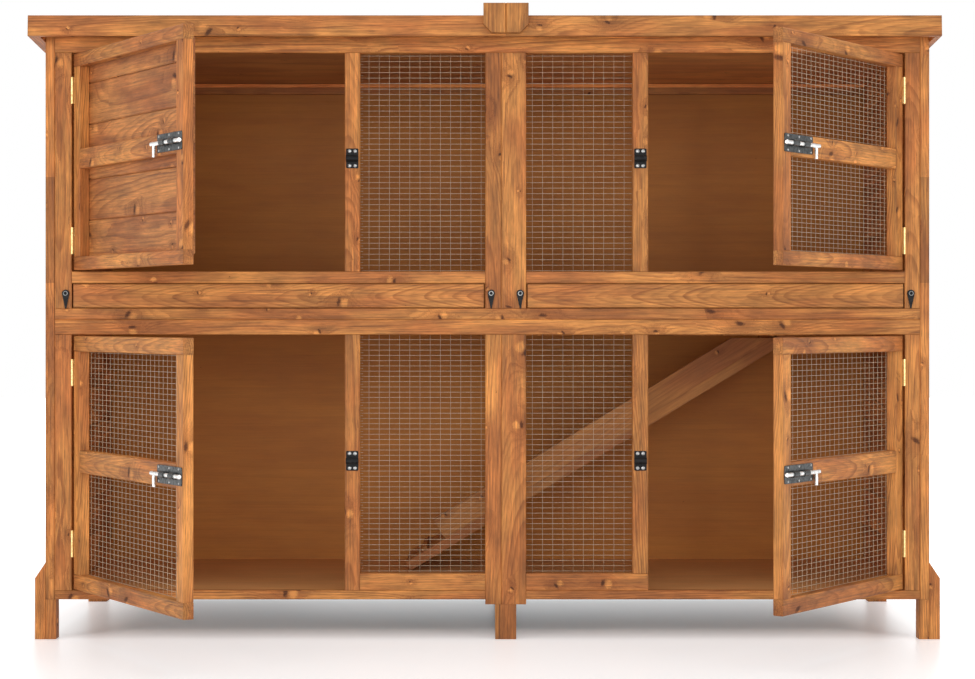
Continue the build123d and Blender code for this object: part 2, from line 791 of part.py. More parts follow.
def door(name, side, x_edge, x_far, x_keeper, storey, open_deg, boarded=False):
    # side is +1 for a door that runs to +X from its hinges, -1 for one that runs to -X
    opening, rail_h, mid_h, mid_rise, bolt_rise, hinge_from_foot = storey
    x_pin = x_edge + side * hinge_gap / 2
    near = x_edge + side * hinge_gap
    far = x_far - side * door_gap
    z_foot, z_head = opening[0] + door_gap_z, opening[1] - door_gap_z
    z_mid = (z_foot + z_head) / 2 + mid_rise
    thick = (y_front, y_front + door_t)
    hinge_axis = Axis((x_pin, y_pin, 0), (0, 0, 1))

    def swung(piece):
        return piece.rotate(hinge_axis, -side * open_deg)

    stile_z = (z_foot + rail_h, z_head - rail_h)
    stiles = [span(near, near + side * door_stile_w), span(far - side * door_stile_w, far)]
    mid_x = span(near + side * door_stile_w, far - side * door_stile_w)
    frame = [
        *[member(x, thick, stile_z, "Z") for x in stiles],
        member(span(near, far), thick, (z_foot, stile_z[0]), "X"),
        member(mid_x, thick, (z_mid - mid_h / 2, z_mid + mid_h / 2), "X"),
        member(span(near, far), thick, (stile_z[1], z_head), "X"),
    ]
    save(f"door_frame_{name}", *[swung(piece) for piece in frame])

    infill_x = span(near + side * infill_inset, far - side * infill_inset)
    infill_z = (z_foot + infill_inset, z_head - infill_inset)
    if boarded:
        boards = []
        for low, high in [(infill_z[0], z_mid), (z_mid, infill_z[1])]:
            foot = ((infill_x[0] + infill_x[1]) / 2, thick[1] + board_t, low)
            pane_h = high - low
            seams = [0, pane_h - door_board_top - door_board_cover, pane_h - door_board_top, pane_h]
            boards += boarding((0, -1, 0), foot, infill_x[1] - infill_x[0], seams)
        save(f"door_boards_{name}", *[swung(board) for board in boards])
    else:
        save(f"door_mesh_{name}", swung(mesh_panel(infill_x, thick[1], infill_z)))

    hinge_z = [z_foot + hinge_from_foot - hinge_len / 2, z_head - hinge_from_top - hinge_len / 2]
    save(f"door_hinges_{name}", *[swung(hinge_leaf(x_pin, side, z, [1])) for z in hinge_z])
    frame_leaves.extend(hinge_leaf(x_pin, -side, z, [0, 2]) for z in hinge_z)
    hinge_pins.extend(hinge_pin(x_pin, z) for z in hinge_z)

    z_bolt = z_mid + bolt_rise
    save(f"bolt_plate_{name}", swung(bolt_plate(far, side, z_bolt)))
    save(f"bolt_rod_{name}", swung(bolt_rod(far, side, z_bolt)))
    keepers.append(bolt_keeper(x_keeper, z_bolt))


x_keeper_left = (x_door_left_far + x_inner_left) / 2
x_keeper_right = (x_door_right_far + x_inner_right) / 2
upper_opening = (z_upper, z_upper_top)
lower_opening = (z_lower, z_lower_top)
upper_storey = (upper_opening, upper_rail_h, upper_mid_h, upper_mid_rise, upper_bolt_rise, hinge_from_foot_upper)
lower_storey = (lower_opening, lower_rail_h, lower_mid_h, lower_mid_rise, 0, hinge_from_foot_lower)
for level, storey in [("upper", upper_storey), ("lower", lower_storey)]:
    door(
        f"{level}_left", 1, x_door_left, x_door_left_far, x_keeper_left, storey,
        left_open_deg, boarded=level == "upper",
    )
    door(f"{level}_right", -1, x_door_right, x_door_right_far, x_keeper_right, storey, right_open_deg)
save("hinge_frame_leaves", *frame_leaves)
save("hinge_pins", *hinge_pins)
save("bolt_keepers", *keepers)

# Trays: a front board in the tray opening, a low box behind it between guide battens
tray_front_z = (z_tray + tray_gap, z_tray_top - tray_gap)
tray_base_z = (z_tray + tray_slide, z_tray + tray_slide + tray_base_t)
tray_wall_z = (tray_base_z[1], tray_base_z[0] + tray_wall_h)
tray_end = y_back - tray_back_gap
left_front_x = (x_door_left + tray_side_gap, x_centre_left - tray_side_gap)
right_front_x = (x_centre_right + tray_side_gap, x_door_right - tray_side_gap)
left_box_x = (left_front_x[0] + tray_inset, left_front_x[1] - tray_inset)
right_box_x = (right_front_x[0] + tray_inset, right_front_x[1] - tray_inset)
x_notch = x_hole_start - tray_back_gap
y_notch = y_trimmer - tray_back_gap

save("tray_front_left", member(left_front_x, front, tray_front_z, "X"))
save("tray_front_right", member(right_front_x, front, tray_front_z, "X"))


def wall(x, y):
    return sheet(x, y, tray_wall_z)


save(
    "tray_box_left",
    sheet(left_box_x, (y_inside, tray_end), tray_base_z),
    wall((left_box_x[0], left_box_x[0] + tray_wall_t), (y_inside, tray_end)),
    wall((left_box_x[1] - tray_wall_t, left_box_x[1]), (y_inside, tray_end)),
    wall((left_box_x[0] + tray_wall_t, left_box_x[1] - tray_wall_t), (tray_end - tray_wall_t, tray_end)),
)

# The right box stops short of the ramp hole, so its outline is an L
with BuildPart() as notched_base:
    with BuildSketch(Plane.XY.offset(tray_base_z[0])):
        with BuildLine():
            Polyline(
                (right_box_x[0], y_inside),
                (right_box_x[1], y_inside),
                (right_box_x[1], y_notch),
                (x_notch, y_notch),
                (x_notch, tray_end),
                (right_box_x[0], tray_end),
                close=True,
            )
        make_face()
    extrude(amount=tray_base_t)
save(
    "tray_box_right",
    notched_base.part,
    wall((right_box_x[0], right_box_x[0] + tray_wall_t), (y_inside, tray_end)),
    wall((right_box_x[0] + tray_wall_t, x_notch - tray_wall_t), (tray_end - tray_wall_t, tray_end)),
    wall((x_notch - tray_wall_t, x_notch), (y_notch, tray_end)),
    wall((x_notch - tray_wall_t, right_box_x[1] - tray_wall_t), (y_notch - tray_wall_t, y_notch)),
    wall((right_box_x[1] - tray_wall_t, right_box_x[1]), (y_inside, y_notch)),
)

guide_z = (z_tray, z_tray + tray_guide_h)
tray_guides = []
for box_x, y_ends in [(left_box_x, (y_back, y_back)), (right_box_x, (y_back, y_trimmer))]:
    low = box_x[0] - tray_guide_clear
    high = box_x[1] + tray_guide_clear
    tray_guides.append(member((low - tray_guide_w, low), (y_inside + mesh_t, y_ends[0]), guide_z, "Y"))
    tray_guides.append(member((high, high + tray_guide_w), (y_inside + mesh_t, y_ends[1]), guide_z, "Y"))
save("tray_guides", *tray_guides)

# Turn buttons hang from screws in the stiles beside the tray fronts
y_button = y_front - button_clear
screws = []
for name, x in button_x.items():
    face = Plane(origin=(x, y_button, button_z), x_dir=(1, 0, 0), z_dir=(0, -1, 0))
    with BuildPart() as turn_button:
        with BuildSketch(face):
            Circle(button_r)
            with Locations((0, button_tip_r - button_reach)):
                Circle(button_tip_r)
            make_hull()
            RegularPolygon(screw_r + screw_clear, screw_sides, major_radius=False, mode=Mode.SUBTRACT)
        extrude(amount=button_t)
    save(f"turn_button_{name}", turn_button.part)

    with BuildPart() as screw:
        with BuildSketch(face.offset(-button_clear - screw_depth)):
            RegularPolygon(screw_r, screw_sides)
        extrude(amount=screw_depth + button_t + 2 * button_clear)
        with BuildSketch(face.offset(button_t + button_clear)):
            Circle(screw_head_r)
        extrude(amount=screw_head_h)
    screws.append(screw.part)
save("turn_button_screws", *screws)
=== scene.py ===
import json
import math
import bmesh
import bpy
import numpy as np
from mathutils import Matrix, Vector


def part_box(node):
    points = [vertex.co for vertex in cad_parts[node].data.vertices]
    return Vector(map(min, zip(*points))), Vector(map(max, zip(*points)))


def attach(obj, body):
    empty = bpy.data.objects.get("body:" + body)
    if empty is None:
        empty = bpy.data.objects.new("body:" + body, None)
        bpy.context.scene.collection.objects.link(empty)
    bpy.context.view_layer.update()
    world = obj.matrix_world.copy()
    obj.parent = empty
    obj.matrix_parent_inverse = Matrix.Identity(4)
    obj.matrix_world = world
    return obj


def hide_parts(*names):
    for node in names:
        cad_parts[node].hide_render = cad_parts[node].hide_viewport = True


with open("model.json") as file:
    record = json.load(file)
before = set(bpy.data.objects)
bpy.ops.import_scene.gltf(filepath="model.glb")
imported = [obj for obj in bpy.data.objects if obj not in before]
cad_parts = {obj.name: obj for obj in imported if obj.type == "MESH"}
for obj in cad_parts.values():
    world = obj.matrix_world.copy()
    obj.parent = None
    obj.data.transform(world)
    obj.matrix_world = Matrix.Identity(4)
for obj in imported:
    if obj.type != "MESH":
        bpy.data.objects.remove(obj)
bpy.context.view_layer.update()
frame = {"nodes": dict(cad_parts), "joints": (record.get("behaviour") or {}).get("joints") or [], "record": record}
nodes = frame["nodes"]
record = frame["record"]
bodyOf = {node: body for body, members in record["behaviour"]["bodies"].items() for node in members}
slotOf = {row["node"]: row["material_slot"] for row in record["subparts"]}
joints = {joint["name"]: joint for joint in frame["joints"]}
up = np.array([0.0, 0.0, 1.0])
rng = np.random.default_rng(11)
print("frame loaded, nodes:", len(nodes))


# shader helpers

def put(tree, kind, inputs=None, **settings):  # one shader node, each socket linked or set
    made = tree.nodes.new(kind)
    for name, value in settings.items():
        setattr(made, name, value)
    for name, value in (inputs or {}).items():
        if isinstance(value, bpy.types.NodeSocket):
            tree.links.new(value, made.inputs[name])
        else:
            made.inputs[name].default_value = value
    return made


def calc(tree, operation, *values):
    return put(tree, "ShaderNodeMath", dict(enumerate(values)), operation=operation).outputs[0]


def product(tree, *values):
    result = values[0]
    for value in values[1:]:
        result = calc(tree, "MULTIPLY", result, value)
    return result


def oneMinus(tree, value):
    return calc(tree, "SUBTRACT", 1.0, value)


def fromMiddle(tree, value):  # a 0..1 value counted from its middle
    return calc(tree, "SUBTRACT", value, 0.5)


def around(tree, value, spread):  # a 0..1 value turned into a factor around 1
    return calc(tree, "MULTIPLY_ADD", fromMiddle(tree, value), spread, 1.0)


def darken(tree, mask, share):  # a factor that falls from 1 to 1 + share, share being below 0, under the mask
    return calc(tree, "MULTIPLY_ADD", mask, share, 1.0)


def mathVector(tree, operation, *values):
    return put(tree, "ShaderNodeVectorMath", dict(enumerate(values)), operation=operation).outputs[0]


def split(tree, vector):
    return put(tree, "ShaderNodeSeparateXYZ", {0: vector}).outputs


def attribute(tree, name, output="Vector"):
    return put(tree, "ShaderNodeAttribute", attribute_name=name).outputs[output]


def objectPoint(tree):
    return put(tree, "ShaderNodeTexCoord").outputs["Object"]


def step(tree, value, low, high):  # 0 at low, 1 at high, smooth between
    sockets = {"Value": value, "From Min": low, "From Max": high}
    return put(tree, "ShaderNodeMapRange", sockets, interpolation_type="SMOOTHSTEP").outputs[0]


def noise(tree, vector, scale=1.0, detail=2.0, rough=0.5):
    sockets = {"Vector": vector, "Scale": scale, "Detail": detail, "Roughness": rough}
    return put(tree, "ShaderNodeTexNoise", sockets).outputs[0]


def blend(tree, factor, first, second):
    sockets = {0: factor, 6: first, 7: second}
    return put(tree, "ShaderNodeMix", sockets, data_type="RGBA", blend_type="MIX").outputs[2]


def scaleColour(tree, colour, factor):
    return put(tree, "ShaderNodeVectorMath", {0: colour, "Scale": factor}, operation="SCALE").outputs[0]


def bumpFrom(tree, height, strength, distance):
    sockets = {"Height": height, "Strength": strength, "Distance": distance}
    return put(tree, "ShaderNodeBump", sockets).outputs[0]


def srgb(red, green, blue):  # 8-bit display colour to the linear one that shaders use
    share = np.array([red, green, blue]) / 255
    linear = np.where(share <= 0.04045, share / 12.92, ((share + 0.055) / 1.055) ** 2.4)
    return (*linear.tolist(), 1.0)


def newGroup(name, inputs, outputs):
    group = bpy.data.node_groups.new(name, "ShaderNodeTree")
    for label, kind, value in inputs:
        group.interface.new_socket(label, in_out="INPUT", socket_type=kind).default_value = value
    for label, kind in outputs:
        group.interface.new_socket(label, in_out="OUTPUT", socket_type=kind)
    return group, group.nodes.new("NodeGroupInput").outputs, group.nodes.new("NodeGroupOutput").inputs


def newMaterial(name, **sockets):
    material = bpy.data.materials.new(name)
    material.use_nodes = True
    tree = material.node_tree
    shader = tree.nodes["Principled BSDF"]
    for label, value in sockets.items():
        shader.inputs[label].default_value = value
    return material, tree, shader


# stained timber: rings about a pith line beside each board, knots, fibre, an uneven stain dark at the ends

grainNoise = {  # stretch along, across and through a board, then detail and roughness
    "sway": ((1.3, 5.0, 5.0), 2.0, 0.5),
    "waver": ((7.0, 50.0, 50.0), 3.0, 0.5),
    "streak": ((8.0, 300.0, 300.0), 4.0, 0.75),
    "fleck": ((30.0, 380.0, 380.0), 2.0, 0.5),
    "check": ((2.2, 130.0, 130.0), 2.0, 0.5),
    "fibre": ((40.0, 1500.0, 1500.0), 1.0, 0.5),
    "cloud": ((2.6, 26.0, 26.0), 3.0, 0.55),
    "blotch": ((14.0, 46.0, 46.0), 3.0, 0.6),
    "warmth": ((4.5, 17.0, 17.0), 2.0, 0.5),
}
grainLimits = {"fleck": (0.58, 0.72), "check": (0.62, 0.7), "warmth": (0.36, 0.64)}  # where each mask sets in
knotLook = {
    "rowHeight": 0.05,  # height of the cells on a face, each with one site
    "sideShift": 0.37,  # keeps the sites of a board's sides apart from those of its faces
    "chance": 0.45,  # sites below this stay bare
    "least": 0.3,  # share of the knot size that every knot has
    "smallest": 0.00002,
    "ragged": {"scale": 300.0, "detail": 3.0, "reach": 0.012},
    "core": {"flat": 2.3, "fade": (0.3, 1.0), "share": 0.85},
    "halo": {"long": 0.6, "fade": (0.5, 2.8), "share": 0.5},
    "gleam": {"flat": 1.3, "fade": (0.3, 1.1), "share": 0.8, "bright": 1.3},
    "swirl": 2.6,  # how far a knot pushes the rings aside, in knot sizes
}
ringLook = {"sway": 0.04, "waver": 0.0035, "rise": (0.3, 0.86), "fall": (0.88, 1.0), "year": (0.85, 0.15)}
stainLook = {
    "swing": {"streak": 1.1, "fibre": 0.2, "cloud": 0.46, "blotch": 0.7},  # lighter and darker by this share
    "dark": {"check": -0.14, "fleck": -0.16},
    "edge": {"ragged": 0.008, "fade": (0.0002, 0.0045), "share": -0.09},
    "end": {"ragged": 0.05, "fade": (0.0, 0.03), "share": -0.1},
    "endGrain": {"depth": 0.0007, "share": -0.08},
    # the pale tint, painted light on the lower floor
    "dustAndLight": srgb(206, 168, 124),
    "roughness": {"base": 0.45, "streak": 0.22, "knot": 0.15},
    "relief": {"late": 0.5, "fibre": 0.35, "streak": 0.5, "knot": -0.6},
}


def faceGaps(tree, place, half):  # distances to the board's ends, sides and faces
    return split(tree, mathVector(tree, "SUBTRACT", half, mathVector(tree, "ABSOLUTE", place)))


def knotMasks(tree, given, point, gaps, life, endGrain):
    # one site in each stretched cell of a face, measured back in metres, turned by chance and flattened
    along, across, deep = split(tree, point)
    onSide = calc(tree, "LESS_THAN", gaps[1], gaps[2])
    sideways = calc(tree, "ADD", deep, knotLook["sideShift"])
    level = put(tree, "ShaderNodeMix", {0: onSide, 2: across, 3: sideways}).outputs[0]
    cellX = calc(tree, "DIVIDE", along, given["Knot gap"])
    cellY = calc(tree, "DIVIDE", level, knotLook["rowHeight"])
    cell = put(tree, "ShaderNodeCombineXYZ", {0: cellX, 1: cellY}).outputs[0]
    site = put(tree, "ShaderNodeTexVoronoi", {"Vector": cell, "Scale": 1.0}, voronoi_dimensions="2D").outputs
    siteX, siteY, _ = split(tree, site["Position"])
    gapX = product(tree, calc(tree, "SUBTRACT", cellX, siteX), given["Knot gap"])
    gapY = product(tree, calc(tree, "SUBTRACT", cellY, siteY), knotLook["rowHeight"])
    chance, sort, lean = put(tree, "ShaderNodeSeparateColor", {0: site["Color"]}).outputs
    lean = product(tree, lean, 2 * math.pi)
    sine, cosine = calc(tree, "SINE", lean), calc(tree, "COSINE", lean)
    longWay = calc(tree, "MULTIPLY_ADD", gapX, cosine, product(tree, gapY, sine))
    shortWay = calc(tree, "SUBTRACT", product(tree, gapY, cosine), product(tree, gapX, sine))
    wear = knotLook["ragged"]
    ragged = fromMiddle(tree, noise(tree, point, wear["scale"], wear["detail"]))
    ragged = product(tree, ragged, wear["reach"])
    size = calc(tree, "MULTIPLY_ADD", calc(tree, "POWER", sort, 2.0), 1.0, knotLook["least"])
    size = product(tree, given["Knot size"], size, calc(tree, "GREATER_THAN", chance, knotLook["chance"]))
    size = product(tree, size, calc(tree, "SUBTRACT", life, endGrain))
    size = calc(tree, "MAXIMUM", size, knotLook["smallest"])

    def nearness(x, y, flat):  # distance from the knot in knot sizes, y counted flat times
        oval = calc(tree, "MULTIPLY_ADD", x, x, calc(tree, "POWER", product(tree, y, flat), 2.0))
        return calc(tree, "DIVIDE", calc(tree, "ADD", calc(tree, "SQRT", oval), ragged), size)

    core, halo, gleam = knotLook["core"], knotLook["halo"], knotLook["gleam"]
    wide = nearness(product(tree, gapX, halo["long"]), gapY, 1.0)
    beside = calc(tree, "MULTIPLY_ADD", size, -1.0, shortWay)
    swirl = product(tree, size, knotLook["swirl"])
    return {
        "core": oneMinus(tree, step(tree, nearness(longWay, shortWay, core["flat"]), *core["fade"])),
        "halo": oneMinus(tree, step(tree, wide, *halo["fade"])),
        "gleam": oneMinus(tree, step(tree, nearness(longWay, beside, gleam["flat"]), *gleam["fade"])),
        "swirl": calc(tree, "DIVIDE", swirl, calc(tree, "MULTIPLY_ADD", wide, wide, 1.0)),
    }


def lateWood(tree, given, point, slope, masks, swirl):
    # rings: distance from the pith, drifting along the board and bent by soft noise and by the knots
    along, across, deep = split(tree, point)
    reach = calc(tree, "SQRT", calc(tree, "MULTIPLY_ADD", across, across, product(tree, deep, deep)))
    reach = calc(tree, "MULTIPLY_ADD", along, slope, reach)
    for name in ("sway", "waver"):
        reach = calc(tree, "MULTIPLY_ADD", fromMiddle(tree, masks[name]), ringLook[name], reach)
    turns = calc(tree, "DIVIDE", calc(tree, "ADD", reach, swirl), given["Ring width"])
    part = calc(tree, "FRACT", turns)
    number = calc(tree, "FLOOR", turns)
    year = put(tree, "ShaderNodeTexWhiteNoise", {"W": number}, noise_dimensions="1D").outputs[0]
    fall = oneMinus(tree, step(tree, part, *ringLook["fall"]))
    late = product(tree, step(tree, part, *ringLook["rise"]), fall)
    return product(tree, late, calc(tree, "MULTIPLY_ADD", year, *ringLook["year"]))


def timberGroup():
    number, tint = "NodeSocketFloat", "NodeSocketColor"
    tree, given, out = newGroup(
        "stainedTimber",
        [
            ("Pale", tint, srgb(208, 138, 76)),
            ("Band", tint, srgb(150, 86, 42)),
            ("Flush", tint, srgb(186, 114, 68)),
            ("Knot", tint, srgb(70, 31, 10)),
            ("Ring width", number, 0.005),
            ("Ring strength", number, 0.6),
            ("Knot gap", number, 0.2),
            ("Knot size", number, 0.006),
            ("Mottle", number, 1.0),
        ],
        [("Colour", tint), ("Roughness", number), ("Height", number)],
    )
    place = attribute(tree, "boardPlace")
    point = mathVector(tree, "ADD", place, attribute(tree, "boardShift"))
    # tone with painted light and shade on some boards, contrast of the grain, and the pale tint that is painted
    # light on the lower floor
    toneAndLight, life, dustAndLight = split(tree, attribute(tree, "boardMood"))
    gaps = faceGaps(tree, place, attribute(tree, "boardHalf"))
    endGap, sideGap, faceGap = gaps
    masks = {
        name: noise(tree, mathVector(tree, "MULTIPLY", point, scales), 1.0, detail, rough)
        for name, (scales, detail, rough) in grainNoise.items()
    }
    masks.update({name: step(tree, masks[name], *limits) for name, limits in grainLimits.items()})
    endGrain = calc(tree, "LESS_THAN", endGap, stainLook["endGrain"]["depth"])
    knots = knotMasks(tree, given, point, gaps, life, endGrain)
    late = lateWood(tree, given, point, attribute(tree, "boardSlope", "Fac"), masks, knots["swirl"])

    # the nearest arris is the middle one of the three distances
    inner = calc(tree, "MINIMUM", calc(tree, "MAXIMUM", sideGap, faceGap), endGap)
    arris = calc(tree, "MAXIMUM", calc(tree, "MINIMUM", sideGap, faceGap), inner)
    borders = {}
    for name, gap in (("edge", arris), ("end", endGap)):
        look = stainLook[name]
        gap = calc(tree, "MULTIPLY_ADD", fromMiddle(tree, masks["blotch"]), look["ragged"], gap)
        borders[name] = oneMinus(tree, step(tree, gap, *look["fade"]))
    borders["endGrain"] = endGrain

    colour = blend(tree, masks["warmth"], given["Pale"], given["Flush"])
    ringShare = product(tree, late, product(tree, given["Ring strength"], life))
    colour = blend(tree, ringShare, colour, given["Band"])
    gleamColour = scaleColour(tree, given["Pale"], knotLook["gleam"]["bright"])
    knotColours = {"halo": given["Band"], "gleam": gleamColour, "core": given["Knot"]}
    for name, paint in knotColours.items():
        colour = blend(tree, product(tree, knots[name], knotLook[name]["share"]), colour, paint)
    # the pale tint, painted light on the lower floor
    colour = blend(tree, dustAndLight, colour, stainLook["dustAndLight"])

    mottle = product(tree, given["Mottle"], life)
    factors = []
    for name, share in stainLook["swing"].items():
        factors.append(around(tree, masks[name], product(tree, mottle, share)))
    for name, share in stainLook["dark"].items():
        factors.append(darken(tree, masks[name], product(tree, mottle, share)))
    start, stop, strength = split(tree, attribute(tree, "boardPatch"))
    length = split(tree, place)[0]
    inside = product(tree, calc(tree, "GREATER_THAN", length, start), calc(tree, "LESS_THAN", length, stop))
    # the board's tone, which holds painted light and shade on some boards
    factors += [oneMinus(tree, product(tree, inside, strength)), toneAndLight]
    factors += [darken(tree, mask, stainLook[name]["share"]) for name, mask in borders.items()]
    tree.links.new(scaleColour(tree, colour, product(tree, *factors)), out["Colour"])

    gloss, relief = stainLook["roughness"], stainLook["relief"]
    dull = calc(tree, "MULTIPLY_ADD", masks["streak"], gloss["streak"], gloss["base"])
    tree.links.new(calc(tree, "MULTIPLY_ADD", knots["core"], gloss["knot"], dull), out["Roughness"])
    height = calc(tree, "MULTIPLY_ADD", late, relief["late"], product(tree, masks["fibre"], relief["fibre"]))
    height = calc(tree, "MULTIPLY_ADD", masks["streak"], relief["streak"], height)
    tree.links.new(calc(tree, "MULTIPLY_ADD", knots["core"], relief["knot"], height), out["Height"])
    return tree


timberLooks = {
    "timber": {
        "Pale": srgb(211, 141, 73), "Band": srgb(142, 78, 33), "Flush": srgb(184, 112, 57),
        "Ring width": 0.0046, "Ring strength": 0.68, "Knot gap": 0.12, "Knot size": 0.013, "Mottle": 1.8,
    },
    "boarding": {
        "Pale": srgb(203, 134, 74), "Band": srgb(132, 72, 31), "Flush": srgb(175, 105, 56),
        "Ring width": 0.0065, "Ring strength": 0.68, "Knot gap": 0.14, "Knot size": 0.014, "Mottle": 1.6,
    },
    "plywood": {
        "Pale": srgb(170, 108, 41), "Band": srgb(150, 91, 33), "Flush": srgb(162, 100, 37),
        "Ring width": 0.02, "Ring strength": 0.25, "Knot gap": 0.9, "Knot size": 0.0, "Mottle": 0.3,
    },
}
timberBump = {"strength": 0.35, "distance": 0.0008}


def timberMaterial(group, name, look):
    material, tree, shader = newMaterial(name, **{"Specular IOR Level": 0.35})
    grain = put(tree, "ShaderNodeGroup", look, node_tree=group).outputs
    tree.links.new(grain["Colour"], shader.inputs["Base Color"])
    tree.links.new(grain["Roughness"], shader.inputs["Roughness"])
    tree.links.new(bumpFrom(tree, grain["Height"], **timberBump), shader.inputs["Normal"])
    return material


# metals: a worn, slightly uneven finish shared by every fitting

wornLook = {"patches": (180.0, 4.0, 0.6), "grit": (1400.0, 2.0), "fade": (0.42, 0.72)}
wornRoughness = {"worn": 0.2, "grit": 0.08}
wornBump = {"grit": 0.4, "strength": 0.12, "distance": 0.0003}


def metalGroup():
    number, tint = "NodeSocketFloat", "NodeSocketColor"
    tree, given, out = newGroup(
        "handledMetal",
        [("Finish", tint, srgb(180, 180, 180)), ("Tarnish", tint, srgb(90, 88, 84)), ("Gloss", number, 0.35)],
        [("Colour", tint), ("Roughness", number), ("Height", number)],
    )
    point = objectPoint(tree)
    mottle = noise(tree, point, *wornLook["patches"])
    grit = noise(tree, point, *wornLook["grit"])
    worn = step(tree, mottle, *wornLook["fade"])
    bright = oneMinus(tree, attribute(tree, "dullness", "Fac"))
    colour = blend(tree, worn, given["Finish"], given["Tarnish"])
    tree.links.new(scaleColour(tree, colour, bright), out["Colour"])
    dull = calc(tree, "MULTIPLY_ADD", worn, wornRoughness["worn"], given["Gloss"])
    tree.links.new(calc(tree, "MULTIPLY_ADD", grit, wornRoughness["grit"], dull), out["Roughness"])
    tree.links.new(calc(tree, "MULTIPLY_ADD", grit, wornBump["grit"], mottle), out["Height"])
    return tree


metalLooks = {  # metallic share, finish, tarnish, roughness where it is least worn
    "galvanised_wire": (0.1, srgb(204, 188, 164), srgb(178, 158, 134), 0.5),
    "brass": (0.8, srgb(248, 222, 156), srgb(228, 192, 118), 0.3),
    "zinc_steel": (0.7, srgb(72, 74, 74), srgb(40, 42, 42), 0.3),
    "bright_steel": (0.85, srgb(238, 238, 236), srgb(204, 204, 202), 0.2),
    "black_steel": (0.8, srgb(24, 24, 25), srgb(44, 44, 45), 0.4),
}


def metalMaterial(group, name, look):
    metallic, finish, tarnish, gloss = look
    material, tree, shader = newMaterial(name, Metallic=metallic)
    sockets = {"Finish": finish, "Tarnish": tarnish, "Gloss": gloss}
    coat = put(tree, "ShaderNodeGroup", sockets, node_tree=group).outputs
    tree.links.new(coat["Colour"], shader.inputs["Base Color"])
    tree.links.new(coat["Roughness"], shader.inputs["Roughness"])
    bump = bumpFrom(tree, coat["Height"], wornBump["strength"], wornBump["distance"])
    tree.links.new(bump, shader.inputs["Normal"])
    return material


feltLook = {
    "grit": 520.0, "low": srgb(50, 62, 52), "high": srgb(104, 118, 98),
    "patches": (9.0, 4.0, 0.6), "swing": 0.5,
    "roughness": (0.15, 0.78), "bump": {"strength": 0.6, "distance": 0.001},
}


def feltMaterial():  # mineral felt: slate grit on bitumen
    material, tree, shader = newMaterial("mineralFelt", **{"Specular IOR Level": 0.3})
    point = objectPoint(tree)
    grains = put(tree, "ShaderNodeTexVoronoi", {"Vector": point, "Scale": feltLook["grit"]}).outputs
    fleck = put(tree, "ShaderNodeSeparateColor", {0: grains["Color"]}).outputs[0]
    patch = around(tree, noise(tree, point, *feltLook["patches"]), feltLook["swing"])
    colour = blend(tree, fleck, feltLook["low"], feltLook["high"])
    tree.links.new(scaleColour(tree, colour, patch), shader.inputs["Base Color"])
    tree.links.new(calc(tree, "MULTIPLY_ADD", fleck, *feltLook["roughness"]), shader.inputs["Roughness"])
    tree.links.new(bumpFrom(tree, grains["Distance"], **feltLook["bump"]), shader.inputs["Normal"])
    return material


timberTree = timberGroup()
metalTree = metalGroup()
materials = {slot: timberMaterial(timberTree, slot + "Stain", look) for slot, look in timberLooks.items()}
materials.update({slot: metalMaterial(metalTree, slot + "Finish", look) for slot, look in metalLooks.items()})
materials["mineral_felt"] = feltMaterial()
print("materials made:", len(materials))


# mesh helpers

def newPiece(name, verts, faces, body, slot):
    mesh = bpy.data.meshes.new(name)
    mesh.from_pydata(np.asarray(verts).tolist(), [], [list(face) for face in faces])
    mesh.validate()
    piece = bpy.data.objects.new(name, mesh)
    bpy.context.scene.collection.objects.link(piece)
    mesh.materials.append(materials[slot])
    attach(piece, body)
    return piece


def softEdges(piece, width, angle, segments=2):  # a small round on the sharp edges
    bevel = piece.modifiers.new("arris", "BEVEL")
    bevel.width = width
    bevel.segments = segments
    bevel.limit_method = "ANGLE"
    bevel.angle_limit = math.radians(angle)


def solidsOf(node):
    # the separate solids of a CAD node: corners are merged, and triangles that share an edge belong together,
    # two by two in the order of the node's list where touching solids share the edge
    mesh = nodes[node].data
    corners = np.empty(len(mesh.vertices) * 3, np.float32)
    mesh.vertices.foreach_get("co", corners)
    loops = np.empty(len(mesh.loops), np.int32)
    mesh.loops.foreach_get("vertex_index", loops)
    points, index = np.unique(np.round(corners.reshape(-1, 3).astype(float), 6), axis=0, return_inverse=True)
    tris = index.ravel()[loops].reshape(-1, 3)
    tris = tris[(tris[:, 0] != tris[:, 1]) & (tris[:, 1] != tris[:, 2]) & (tris[:, 2] != tris[:, 0])]
    edges = np.sort(tris[:, [[0, 1], [1, 2], [2, 0]]].reshape(-1, 2), axis=1)
    key = edges[:, 0] * len(points) + edges[:, 1]
    order = np.argsort(key, kind="stable")
    _, start, count = np.unique(key[order], return_index=True, return_counts=True)
    rank = np.arange(len(key)) - np.repeat(start, count)
    pairs = np.flatnonzero((rank % 2 == 0) & (rank + 1 < np.repeat(count, count)))
    first, second = order[pairs] // 3, order[pairs + 1] // 3
    label = np.arange(len(tris))
    while True:
        low = np.minimum(label[first], label[second])
        spread = label.copy()
        np.minimum.at(spread, first, low)
        np.minimum.at(spread, second, low)
        spread = spread[spread]
        if (spread == label).all():
            break
        label = spread
    found = []
    for mark in np.unique(label):
        own, local = np.unique(tris[label == mark], return_inverse=True)
        found.append((points[own], local.reshape(-1, 3)))
    return sorted(found, key=lambda solid: solid[0].mean(0).round(4).tolist())


leastArea = 1e-12  # smaller triangles have no direction worth asking
squareWithin = 0.05  # cosine below which two faces count as square to each other


